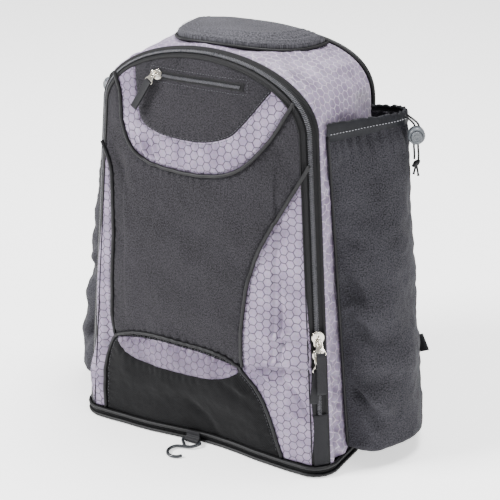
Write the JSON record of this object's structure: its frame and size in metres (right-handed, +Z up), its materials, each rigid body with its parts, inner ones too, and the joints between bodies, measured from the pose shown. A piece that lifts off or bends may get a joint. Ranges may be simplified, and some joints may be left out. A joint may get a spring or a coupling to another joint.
{
  "type": "baseball bat backpack",
  "caption": "Soft baseball backpack with a zip round its curved front, a bat sleeve on each side, a fence hook, a padded handle and shoulder straps.",
  "frame": {"origin": "middle of the flat underside of the base", "axes": "+Z up, +X to the side with the open zip end (the right of the picture), -Y the front, +Y the wearer's back"},
  "size_m": [0.468, 0.2686, 0.4965],
  "materials": {
    "lavender_fabric": "woven, light satin",
    "black_fabric": "coarse matt weave",
    "dark_fabric": "coarse matt weave",
    "piping": "smooth bound edge",
    "nylon_hem": "smooth coated nylon",
    "zip_tape": "fine ribbed tape",
    "zip_coil": "moulded coil",
    "webbing": "ribbed webbing",
    "slider_metal": "plated, bright",
    "hook_wire": "gloss black coated steel wire",
    "lock_plastic": "satin grey",
    "buckle_plastic": "satin black",
    "drawcord": "braided cord"
  },
  "bodies": {
    "bag": {"base_panel": "dark_fabric", "base_band": "dark_fabric", "base_piping_lower": "piping", "base_piping_upper": "piping", "gusset": "lavender_fabric", "back_panel": "black_fabric", "top_pocket_panel": "black_fabric", "band_panel": "lavender_fabric", "centre_panel": "black_fabric", "side_panel_right": "lavender_fabric", "side_panel_left": "lavender_fabric", "lower_pocket_panel": "dark_fabric", "lens_inset": "lavender_fabric", "piping_band": "piping", "piping_right": "piping", "piping_left": "piping", "piping_pocket": "piping", "main_zip_tape": "zip_tape", "main_zip_chain": "zip_coil", "zip_cover_right": "webbing", "zip_cover_left": "webbing", "main_slider_upper": "slider_metal", "main_slider_lower": "slider_metal", "pocket_zip": "zip_tape", "pocket_slider": "slider_metal", "handle_patch": "dark_fabric", "handle_pad": "black_fabric", "hook_tab": "webbing", "sleeve_right": "black_fabric", "sleeve_hem_right": "nylon_hem", "cord_lock_right": "lock_plastic", "cord_knot_right": "drawcord", "drawcord_front_right": "drawcord", "drawcord_rear_right": "drawcord", "shoulder_strap_right": "black_fabric", "ladder_lock_right": "buckle_plastic", "strap_webbing_right": "webbing", "strap_tail_right": "webbing", "sleeve_left": "black_fabric", "sleeve_hem_left": "nylon_hem", "cord_lock_left": "lock_plastic", "cord_knot_left": "drawcord", "drawcord_front_left": "drawcord", "drawcord_rear_left": "drawcord", "shoulder_strap_left": "black_fabric", "ladder_lock_left": "buckle_plastic", "strap_webbing_left": "webbing", "strap_tail_left": "webbing"},
    "hook": {"fence_hook": "hook_wire"},
    "pull_upper": {"main_pull_upper": "slider_metal", "main_ribbon_upper": "webbing"},
    "pull_lower": {"main_pull_lower": "slider_metal", "main_ribbon_lower": "webbing"},
    "pull_pocket": {"pocket_pull": "slider_metal", "pocket_ribbon": "webbing"},
    "plunger_right": {"cord_plunger_right": "lock_plastic"},
    "plunger_left": {"cord_plunger_left": "lock_plastic"}
  },
  "joints": [
    {"name": "hook_swing", "type": "hinge", "parent": "bag", "child": "hook", "pos_m": [-0.008, -0.10841, 0.0042], "axis": [-1, 0, 0], "range_deg": [-80, 80]},
    {"name": "upper_pull_lift", "type": "hinge", "parent": "bag", "child": "pull_upper", "pos_m": [0.15538, -0.093, 0.17073], "axis": [-0.7071, -0.7071, 0], "range_deg": [0, 110]},
    {"name": "lower_pull_lift", "type": "hinge", "parent": "bag", "child": "pull_lower", "pos_m": [0.15719, -0.09399, 0.1497], "axis": [-0.7088, -0.6881, 0.1557], "range_deg": [0, 4]},
    {"name": "pocket_pull_lift", "type": "hinge", "parent": "bag", "child": "pull_pocket", "pos_m": [-0.05239, -0.09198, 0.45252], "axis": [-0.8626, 0.1402, 0.4861], "range_deg": [0, 38]},
    {"name": "right_plunger_press", "type": "slide", "parent": "bag", "child": "plunger_right", "axis": [-0.4983, 0.867, 0], "range_m": [0, 0.0033], "stiffness_N_per_m": 250, "springref_m": -0.002},
    {"name": "left_plunger_press", "type": "slide", "parent": "bag", "child": "plunger_left", "axis": [0.4983, 0.867, 0], "range_m": [0, 0.0033], "stiffness_N_per_m": 250, "springref_m": -0.002}
  ]
}
